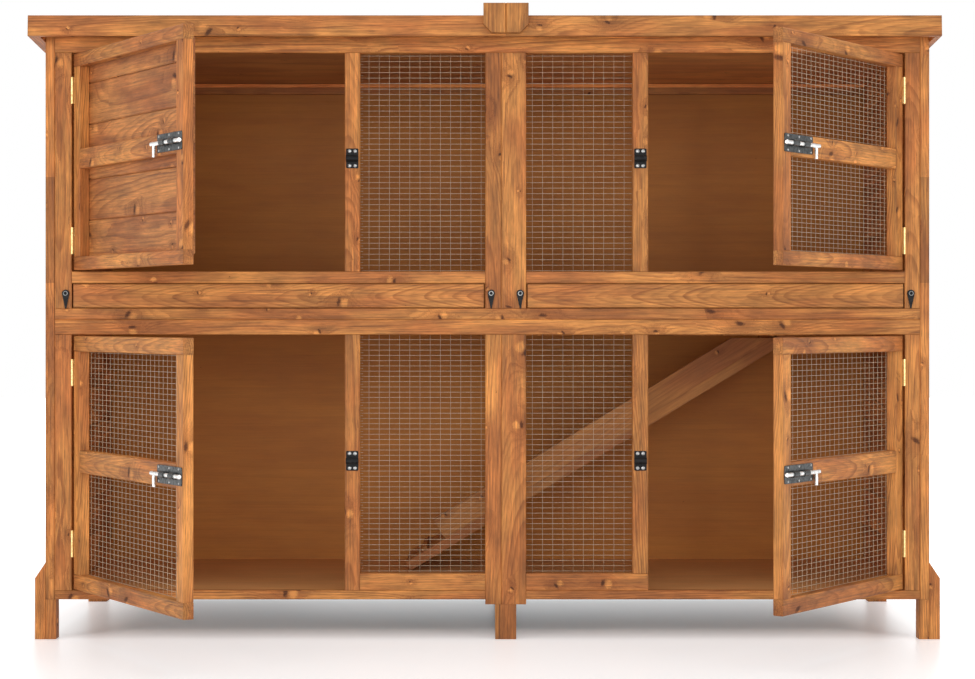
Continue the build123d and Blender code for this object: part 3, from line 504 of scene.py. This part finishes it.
def boardAxes(points, tris):
    # rows: length, width and thickness; the largest faces look along the thickness, the next along the width
    a, b, c = points[tris[:, 0]], points[tris[:, 1]], points[tris[:, 2]]
    cross = np.cross(b - a, c - a)
    area = np.linalg.norm(cross, axis=1)
    real = area > leastArea
    normal = cross[real] / area[real, None]
    lead = np.argmax(np.abs(normal), axis=1)
    normal *= np.sign(normal[np.arange(len(normal)), lead])[:, None]
    ways, index = np.unique(np.round(normal, 3), axis=0, return_inverse=True)
    total = np.bincount(index.ravel(), weights=area[real])
    thick = ways[np.argmax(total)] / np.linalg.norm(ways[np.argmax(total)])
    square = np.abs(ways @ thick) < squareWithin
    wide = ways[square][np.argmax(total[square])]
    wide = wide - thick * (wide @ thick)
    wide /= np.linalg.norm(wide)
    return np.array([np.cross(wide, thick), wide, thick])


# timber pieces: each board keeps its CAD shape and gets its own stretch of grain

boardLook = {
    "arris": 0.0004, "arrisAngle": 55,  # width and least angle of the rounded edges
    "flat": 0.4,  # degrees within which triangles become one face
    "toneSpread": 0.06,
    "pith": (0.02, 0.07),  # distance of the pith from the board's middle
    "pithTurn": (0.22, 0.78),  # its direction, in half turns from the board's width
    "slope": 0.13, "slopeDraw": (0.1, 1.0),  # steepest drift of the rings along a board, and shares of it
    "fullSlope": 0.5,  # longest board with the whole drift
    "longShift": (0, 40),
}
nodeToneAndLight = {  # woods darker or paler than the rest, one factor or one for each board from left to right; the darker middle legs and ramp pieces are painted shade, the paler floors painted light
    "middle_legs": (0.76,), "lower_floor": (1.42,), "upper_floor": (1.15,), "roof_decks": (0.95, 1.25),
    "back_panels": (1.23, 1.12), "ramp_guard": (0.72,), "ramp_board": (0.76,), "ramp_treads": (0.76,),
    "roof_cap": (0.74,), "roof_front_fascia": (0.98, 0.84), "tray_front_right": (0.9,),
    "foot_blocks": (1.12,),
    "upper_front_rails": (1.0, 0.95, 1.07, 1.0), "lower_front_rails": (1.0, 1.0, 0.95, 1.0, 1.0),
    "upper_front_stiles": (0.94, 1.1, 0.97, 0.97, 0.95, 1.0),
    "door_frame_upper_left": (1.05, 1.02, 1.02, 0.98, 1.16),
    "door_frame_lower_left": (1.05, 1.02, 1.02, 1.02, 1.16),
    "door_frame_upper_right": (1.1, 1.0, 1.0, 1.0, 1.0),
    "door_frame_lower_right": (1.1, 1.0, 1.0, 1.0, 1.0),
}
stilePatch = {"low": 0.724, "high": 0.939, "strength": 0.38}  # a dark stretch on the side stiles at the front
nodeLife = {  # share of the grain's contrast
    "roof_decks": 0.3, "back_frame": 0.5, "ramp_guard": 0.45, "ramp_board": 0.45, "ramp_treads": 0.45,
}
nodeDustAndLight = {"lower_floor": 0.35, "roof_decks": 0.2}  # share of a pale tint blended into the stain; on the lower floor it is painted light
archedGrain = {  # boards sawn close to the pith, whose rings show as arches, and the drift of their rings
    "tray_front_left": 0.13, "tray_front_right": 0.13,
    "door_frame_upper_left": 0.08, "door_frame_lower_left": 0.08,
    "door_frame_upper_right": 0.08, "door_frame_lower_right": 0.08,
}
archPith = (0.002, 0.028)  # from the middle of an arched board, across and behind
turnedGrain = ("roof_cap",)  # short pieces whose grain runs across their longer side
beadLightAndShade = {"litBead": 1.9, "batten": 0.8, "depth": 0.0005}  # the nosing of the ceiling batten is made paler as a painted highlight, the batten below it darker as painted shade


def drawBoard(node, k, length):  # tone (with painted light and shade on some nodes), place of the pith and drift of the rings of a node's board k
    tints = nodeToneAndLight.get(node, (1.0,))
    toneAndLight = tints[k % len(tints)] * rng.uniform(1 - boardLook["toneSpread"], 1 + boardLook["toneSpread"])
    turn = rng.choice([-1, 1]) * rng.uniform(*boardLook["pithTurn"]) * math.pi
    pith = rng.uniform(*boardLook["pith"])
    shift = np.array([rng.uniform(*boardLook["longShift"]), pith * math.cos(turn), pith * math.sin(turn)])
    slope = boardLook["slope"] * rng.uniform(*boardLook["slopeDraw"]) ** 2
    slope *= min(1, boardLook["fullSlope"] / length)
    if node in archedGrain:
        shift[1:] = archPith
        slope = archedGrain[node]
    return toneAndLight, shift, slope


def boardMood(node, points, toneAndLight):  # tone, contrast of the grain and pale tint at each corner; tone and tint carry painted light and shade on some boards
    mood = np.tile([toneAndLight, nodeLife.get(node, 1.0), nodeDustAndLight.get(node, 0.0)], (len(points), 1))
    # the ceiling batten: a painted highlight on its nosing and painted shade on the rest
    if node == "back_frame" and points[:, 1].max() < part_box("back_panels")[1].y:
        nose = points[:, 1] < points[:, 1].min() + beadLightAndShade["depth"]
        mood[:, 0] = np.where(nose, beadLightAndShade["litBead"], beadLightAndShade["batten"])
    return mood


def boardPatch(node, points, lengthAxis, middle):  # start, end and strength of a dark stretch along the board
    if node != "side_stiles" or points[:, 1].min() >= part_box("side_rails")[0].y:
        return np.zeros(3)
    heights = np.array([stilePatch["low"], stilePatch["high"]])
    return np.array([*sorted(lengthAxis[2] * heights - middle), stilePatch["strength"]])


def dressTimber(node):
    verts, faces, slopes = [], [], []
    rows = {"Place": [], "Half": [], "Shift": [], "Mood": [], "Patch": []}
    used = 0
    for k, (points, tris) in enumerate(solidsOf(node)):
        axes = boardAxes(points, tris)
        if node in turnedGrain:
            axes = axes[[1, 0, 2]]
        local = points @ axes.T
        low, high = local.min(0), local.max(0)
        middle = (low + high) / 2
        toneAndLight, shift, slope = drawBoard(node, k, high[0] - low[0])
        board = {
            "Place": local - middle, "Half": (high - low) / 2, "Shift": shift,
            "Mood": boardMood(node, points, toneAndLight), "Patch": boardPatch(node, points, axes[0], middle[0]),
        }
        for name, values in board.items():
            rows[name].append(np.broadcast_to(values, points.shape))
        slopes.append(np.full(len(points), slope))
        verts.append(points)
        faces.append(tris + used)
        used += len(points)
    piece = newPiece(node + "_stained", np.vstack(verts), np.vstack(faces), bodyOf[node], slotOf[node])
    for name, values in rows.items():
        layer = piece.data.attributes.new("board" + name, "FLOAT_VECTOR", "POINT")
        layer.data.foreach_set("vector", np.vstack(values).astype(np.float32).ravel())
    layer = piece.data.attributes.new("boardSlope", "FLOAT", "POINT")
    layer.data.foreach_set("value", np.concatenate(slopes).astype(np.float32))
    flat = bmesh.new()
    flat.from_mesh(piece.data)
    limit = math.radians(boardLook["flat"])
    bmesh.ops.dissolve_limit(flat, angle_limit=limit, verts=flat.verts, edges=flat.edges)
    flat.to_mesh(piece.data)
    flat.free()
    softEdges(piece, boardLook["arris"], boardLook["arrisAngle"])
    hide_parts(node)
    return piece


timberNodes = [node for node in sorted(nodes) if slotOf[node] in timberLooks]
for node in timberNodes:
    dressTimber(node)
print("timber dressed:", len(timberNodes))


# metal fittings keep their CAD shape, with merged corners, smooth rounds and a softened edge

fittingLook = {"arris": 0.00025, "arrisAngle": 50, "smoothAngle": 38}
fittingDull = {"turn_button_screws": 0.8}  # share of the finish's brightness that is lost


def setDullness(piece, share):
    layer = piece.data.attributes.new("dullness", "FLOAT", "POINT")
    layer.data.foreach_set("value", np.full(len(piece.data.vertices), share, np.float32))


def dressFitting(node):
    verts, faces = [], []
    used = 0
    for points, tris in solidsOf(node):
        verts.append(points)
        faces.append(tris + used)
        used += len(points)
    piece = newPiece(node + "_finished", np.vstack(verts), np.vstack(faces), bodyOf[node], slotOf[node])
    setDullness(piece, fittingDull.get(node, 0.0))
    piece.data.shade_smooth()
    piece.data.set_sharp_from_angle(angle=math.radians(fittingLook["smoothAngle"]))
    softEdges(piece, fittingLook["arris"], fittingLook["arrisAngle"])
    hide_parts(node)
    return piece


fittingNodes = [node for node in sorted(nodes) if slotOf[node] in metalLooks and "mesh" not in node]
for node in fittingNodes:
    dressFitting(node)
print("fittings dressed:", len(fittingNodes))


# welded mesh: thin tubes on the plane of each CAD sheet

wireLook = {
    "radius": 0.00042, "upright": 0.8,  # thickness of the upright wires against the level ones
    "sides": 6, "steps": 10,
    "wander": 0.0003, "waves": (5, 14), "phase": (0, 6),  # slow wave along each wire, radians over its length
}
steep = 0.9  # wires that rise more than this are upright
wirePitch = {  # upright and level spacing of each net
    "upper_fixed_mesh": (0.0208, 0.01123),
    "lower_fixed_mesh": (0.0208, 0.01073),
    "door_mesh_upper_right": (0.0189, 0.00884),
    "door_mesh_lower_right": (0.0192, 0.0105),
    "door_mesh_lower_left": (0.0203, 0.01045),
}
firstUpright = {"left": 0.0061, "right": 0.0018}  # from the left edge of the fixed nets
firstLevel = {"upper_fixed_mesh": 0.0006, "lower_fixed_mesh": 0.0018}  # from the lower edge
foldLook = {"width": 0.015, "behind": 0.0026}  # the cut edge folded back at the left of the left panels


def tubes(starts, ends):
    # rings of points about straight lines: start + s (end - start) + radius (cos a, sin a) across,
    # with a slow wave of the whole ring sideways; the two ends are closed
    sides, steps = wireLook["sides"], wireLook["steps"]
    count = len(starts)
    run = ends - starts
    ahead = run / np.linalg.norm(run, axis=1, keepdims=True)
    guide = np.where(np.abs(ahead[:, 2:]) > steep, [[1.0, 0.0, 0.0]], [[0.0, 0.0, 1.0]])
    sideways = np.cross(ahead, guide)
    sideways /= np.linalg.norm(sideways, axis=1, keepdims=True)
    upward = np.cross(sideways, ahead)
    share = np.linspace(0, 1, steps + 1)
    bends = share * rng.uniform(*wireLook["waves"], (count, 1)) + rng.uniform(*wireLook["phase"], (count, 1))
    wave = wireLook["wander"] * np.sin(bends)
    centre = starts[:, None] + share[None, :, None] * run[:, None] + wave[..., None] * sideways[:, None]
    angle = np.arange(sides) * 2 * math.pi / sides
    ring = np.cos(angle)[:, None] * sideways[:, None] + np.sin(angle)[:, None] * upward[:, None]
    radius = wireLook["radius"] * np.where(np.abs(ahead[:, 2]) > steep, wireLook["upright"], 1.0)
    verts = (centre[:, :, None] + radius[:, None, None, None] * ring[:, None]).reshape(-1, 3)
    base = np.arange(count)[:, None, None] * (steps + 1) * sides
    lower = base + np.arange(steps)[None, :, None] * sides + np.arange(sides)
    nextSide = base + np.arange(steps)[None, :, None] * sides + (np.arange(sides) + 1) % sides
    quads = np.stack([lower, nextSide, nextSide + sides, lower + sides], axis=-1).reshape(-1, 4)
    firsts = base[:, 0] + np.arange(sides)[::-1]
    lasts = base[:, 0] + steps * sides + np.arange(sides)
    return verts, quads.tolist() + firsts.tolist() + lasts.tolist()


def wireRows(pitch, first, lowest, wide, high, origin, level, out, fold):
    # ends of the upright and level wires of one panel; with fold its left edge is turned back
    radius = wireLook["radius"]
    uprights = np.arange(-wide / 2 + radius + first, wide / 2, pitch[0])
    levels = np.arange(-high / 2 + radius + lowest, high / 2, pitch[1])

    def line(u0, u1, v0, v1, w):
        ends = [np.broadcast_arrays(u, v) for u, v in ((u0, v0), (u1, v1))]
        return [origin + u[:, None] * level + v[:, None] * up + w * out for u, v in ends]

    rows = [line(uprights, uprights, -high / 2, high / 2, radius)]
    rows.append(line(-wide / 2, wide / 2, levels, levels, -radius))
    if fold:
        extra = np.arange(0.25, foldLook["width"] / pitch[0], 0.5) * pitch[0] - wide / 2  # at the quarters
        shifted = levels[:-1] + pitch[1] / 2
        back = -foldLook["behind"]
        rows.append(line(extra, extra, -high / 2, high / 2, back + radius))
        rows.append(line(-wide / 2, foldLook["width"] - wide / 2, shifted, shifted, back - radius))
    return [np.vstack(ends) for ends in zip(*rows)]


def weldMesh(node):
    allVerts, allFaces = [], []
    used = 0
    for points, tris in solidsOf(node):
        axes = boardAxes(points, tris)
        out = axes[2] * -np.sign(axes[2][1])
        level = np.cross(up, out)
        local = points @ np.array([level, up, out]).T
        low, high = local.min(0), local.max(0)
        middle = (low + high) / 2
        origin = middle[0] * level + middle[1] * up + middle[2] * out
        first, fold = 0.0, False
        if "fixed" in node:
            first, fold = firstUpright["left" if origin[0] < 0 else "right"], origin[0] < 0
        lowest = firstLevel.get(node, 0.0)
        wide, tall = high[0] - low[0], high[1] - low[1]
        starts, ends = wireRows(wirePitch[node], first, lowest, wide, tall, origin, level, out, fold)
        verts, faces = tubes(starts, ends)
        allVerts.append(verts)
        allFaces += [[corner + used for corner in face] for face in faces]
        used += len(verts)
    piece = newPiece(node + "_wires", np.vstack(allVerts), allFaces, bodyOf[node], slotOf[node])
    piece.data.shade_smooth()
    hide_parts(node)
    return piece


meshNodes = [node for node in sorted(nodes) if slotOf[node] == "galvanised_wire"]
for node in meshNodes:
    weldMesh(node)
print("mesh woven:", len(meshNodes))


# screw heads: a low dome turned about its axis, radius sin(t), height cos(t), closed by a flat foot

screwLook = {"radius": 0.0040, "height": 0.0016, "rings": 5, "sides": 16, "sharp": 60, "dullness": 0.55}


def domes(name, centres, out, body, slot, size=1.0):
    rings, sides = screwLook["rings"], screwLook["sides"]
    out = np.asarray(out, float)
    first = np.cross(up, out)
    first /= np.linalg.norm(first)
    second = np.cross(out, first)
    tilt = np.linspace(0, math.pi / 2, rings + 1)[1:, None, None]
    angle = np.arange(sides) * 2 * math.pi / sides
    ring = np.cos(angle)[:, None] * first + np.sin(angle)[:, None] * second
    dome = screwLook["radius"] * np.sin(tilt) * ring + screwLook["height"] * np.cos(tilt) * out
    shape = size * np.vstack([screwLook["height"] * out, dome.reshape(-1, 3)])
    corner = 1 + np.arange(rings * sides).reshape(rings, sides)
    beside = np.roll(corner, -1, axis=1)
    fan = np.stack([np.zeros(sides, int), corner[0], beside[0]], axis=-1).tolist()
    bands = np.stack([corner[:-1], corner[1:], beside[1:], beside[:-1]], axis=-1).reshape(-1, 4).tolist()
    foot = [corner[-1, ::-1].tolist()]
    verts = np.vstack([shape + centre for centre in centres])
    starts = np.arange(len(centres)) * len(shape)
    faces = [[point + start for point in face] for start in starts.tolist() for face in fan + bands + foot]
    piece = newPiece(name, verts, faces, body, slot)
    setDullness(piece, screwLook["dullness"])
    piece.data.shade_smooth()
    piece.data.set_sharp_from_angle(angle=math.radians(screwLook["sharp"]))
    return piece


boltScrews = {"columns": (0.0125, 0.0565, 0.1045), "rise": 0.013, "plate": 0.002, "size": 0.65}
keeperScrews = {"aside": 0.0055, "rise": 0.0146, "plate": 0.0015}
buttonRecessShade = {"sink": 0.0002, "size": 0.8}  # a black dome in the middle of a turn button's screw, painted shade of its socket


def fittingAxes(name):  # along: towards the door's free edge; out: away from its front
    along = np.array(joints[f"bolt_{name}_slide"]["axis"], float)
    side = -joints[f"door_{name}_swing"]["axis"][2]
    return along, side * np.cross(along, up)


def nodePoints(node):
    return np.vstack([points for points, _ in solidsOf(node)])


doors = ("upper_left", "upper_right", "lower_left", "lower_right")
for name in doors:
    along, out = fittingAxes(name)
    points = nodePoints("bolt_plate_" + name)
    tip, face = (points @ along).max(), (points @ out).min() + boltScrews["plate"]
    middle = (points[:, 2].min() + points[:, 2].max()) / 2
    centres = [
        (tip - back) * along + face * out + (middle + rise) * up
        for back in boltScrews["columns"]
        for rise in (-boltScrews["rise"], boltScrews["rise"])
    ]
    domes("bolt_screws_" + name, centres, out, "door_" + name, "bright_steel", boltScrews["size"])
centres = []
for points, _ in solidsOf("bolt_keepers"):
    middle = (points.min(0) + points.max(0)) / 2
    face = points[:, 1].max() - keeperScrews["plate"]
    centres += [
        (middle[0] + aside, face, middle[2] + rise)
        for aside in (-keeperScrews["aside"], keeperScrews["aside"])
        for rise in (-keeperScrews["rise"], keeperScrews["rise"])
    ]
domes("keeper_screws", centres, (0, -1, 0), "carcass", "bright_steel")
# black domes in the turn buttons' screws: painted shade of their sockets
centres = []
for points, _ in solidsOf("turn_button_screws"):
    low, high = points.min(0), points.max(0)
    centres.append(((low[0] + high[0]) / 2, low[1] + buttonRecessShade["sink"], (low[2] + high[2]) / 2))
domes("button_recess_shade", centres, (0, -1, 0), "carcass", "black_steel", buttonRecessShade["size"])
print("screws set")

# roof felt keeps its CAD shape
nodes["roof_felt"].data.materials.clear()
nodes["roof_felt"].data.materials.append(materials["mineral_felt"])


# studio: pale floor, white surround, soft lamps and the camera

floorLook = {
    "size": 14.0, "colour": (0.88, 0.88, 0.88, 1), "roughness": 0.35,
    # camera-only glow: the shade colour is a painted shadow over the hutch's footprint, fading to the bright
    # colour around it
    "fade": (-0.2, 0.03), "shade": (0.02, 0.055, 0.072, 1), "bright": (0.405, 0.405, 0.41, 1),
    "aside": {"fade": (0.0, 0.1), "share": 0.5},  # painted light: brighter beside the feet
    "away": {"fade": (0.5, 3.0), "share": 0.8},  # brighter still far off
}


def seenShare(tree):  # 1 for rays that show a thing, also by mirror or glass, 0 for those that light it
    path = put(tree, "ShaderNodeLightPath").outputs
    seen = calc(tree, "MAXIMUM", path["Is Camera Ray"], path["Is Transmission Ray"])
    return calc(tree, "MAXIMUM", seen, path["Is Glossy Ray"])


def makeFloor():  # camera-only glow, low over the hutch's footprint and rising to white in front and beside it: a painted shadow under the hutch, over the real one that the lamps cast
    size = floorLook["size"]
    corners = [(-size, -size, 0), (size, -size, 0), (size, size, 0), (-size, size, 0)]
    mesh = bpy.data.meshes.new("floor")
    mesh.from_pydata(corners, [], [(0, 1, 2, 3)])
    floor = bpy.data.objects.new("floor", mesh)
    bpy.context.scene.collection.objects.link(floor)
    sockets = {"Roughness": floorLook["roughness"], "Base Color": floorLook["colour"]}
    material, tree, shader = newMaterial("paleFloor", **sockets)
    low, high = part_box("foot_blocks")
    alongX, alongY, _ = split(tree, objectPoint(tree))
    aside = calc(tree, "ABSOLUTE", calc(tree, "SUBTRACT", alongX, (low.x + high.x) / 2))
    aside = calc(tree, "SUBTRACT", aside, (high.x - low.x) / 2)
    ahead = calc(tree, "SUBTRACT", low.y, alongY)
    behind = calc(tree, "SUBTRACT", alongY, high.y - floorLook["fade"][0])
    away = calc(tree, "MAXIMUM", aside, calc(tree, "MAXIMUM", ahead, behind))
    paintedShadowGlow = blend(tree, step(tree, away, *floorLook["fade"]), floorLook["shade"], floorLook["bright"])
    for name, distance in (("aside", aside), ("away", away)):
        look = floorLook[name]
        rise = calc(tree, "MULTIPLY_ADD", step(tree, distance, *look["fade"]), look["share"], 1.0)
        paintedShadowGlow = scaleColour(tree, paintedShadowGlow, rise)
    tree.links.new(paintedShadowGlow, shader.inputs["Emission Color"])
    tree.links.new(seenShare(tree), shader.inputs["Emission Strength"])
    mesh.materials.append(material)


def makeWorld(level=0.4):
    world = bpy.data.worlds.new("studio")
    bpy.context.scene.world = world
    world.use_nodes = True
    tree = world.node_tree
    sockets = {"Value": seenShare(tree), "To Min": level, "To Max": 1.0}
    strength = put(tree, "ShaderNodeMapRange", sockets).outputs[0]
    background = tree.nodes["Background"]
    background.inputs["Color"].default_value = (1, 1, 1, 1)
    tree.links.new(strength, background.inputs["Strength"])


lamps = {
    "key": {"at": (-0.3, -5.0, 1.3), "size": 2.4, "power": 48},
    "left": {"at": (-3.6, -3.6, 1.4), "size": 2.0, "power": 46},
    "right": {"at": (3.6, -3.6, 1.4), "size": 2.0, "power": 46},
    "top": {"at": (0.0, 0.2, 4.4), "size": 3.6, "power": 80},
    "rear": {"at": (0.6, 4.8, 2.4), "size": 3.0, "power": 20},
}
aim = Vector((0, 0.1, 0.6))


def makeLamp(name, at, size, power):
    lamp = bpy.data.lights.new(name, "AREA")
    lamp.size = size
    lamp.energy = power
    holder = bpy.data.objects.new(name, lamp)
    holder.location = at
    holder.rotation_euler = (aim - Vector(at)).to_track_quat("-Z", "Y").to_euler()
    bpy.context.scene.collection.objects.link(holder)


cameraLook = {"x": -0.037, "z": 0.6486, "distance": 4.527, "lens": 82.3, "sensor": 36, "shift": -0.02}


def makeCamera():
    data = bpy.data.cameras.new("photoView")
    data.sensor_width = cameraLook["sensor"]
    data.lens = cameraLook["lens"]
    data.shift_y = cameraLook["shift"]
    camera = bpy.data.objects.new("photoView", data)
    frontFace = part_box("upper_front_rails")[0].y
    camera.location = (cameraLook["x"], frontFace - cameraLook["distance"], cameraLook["z"])
    camera.rotation_euler = (math.pi / 2, 0, 0)
    bpy.context.scene.collection.objects.link(camera)
    bpy.context.scene.camera = camera


makeFloor()
makeWorld()
for name, lamp in lamps.items():
    makeLamp(name, **lamp)
makeCamera()
bpy.context.scene.view_settings.view_transform = "Standard"
print("studio ready")
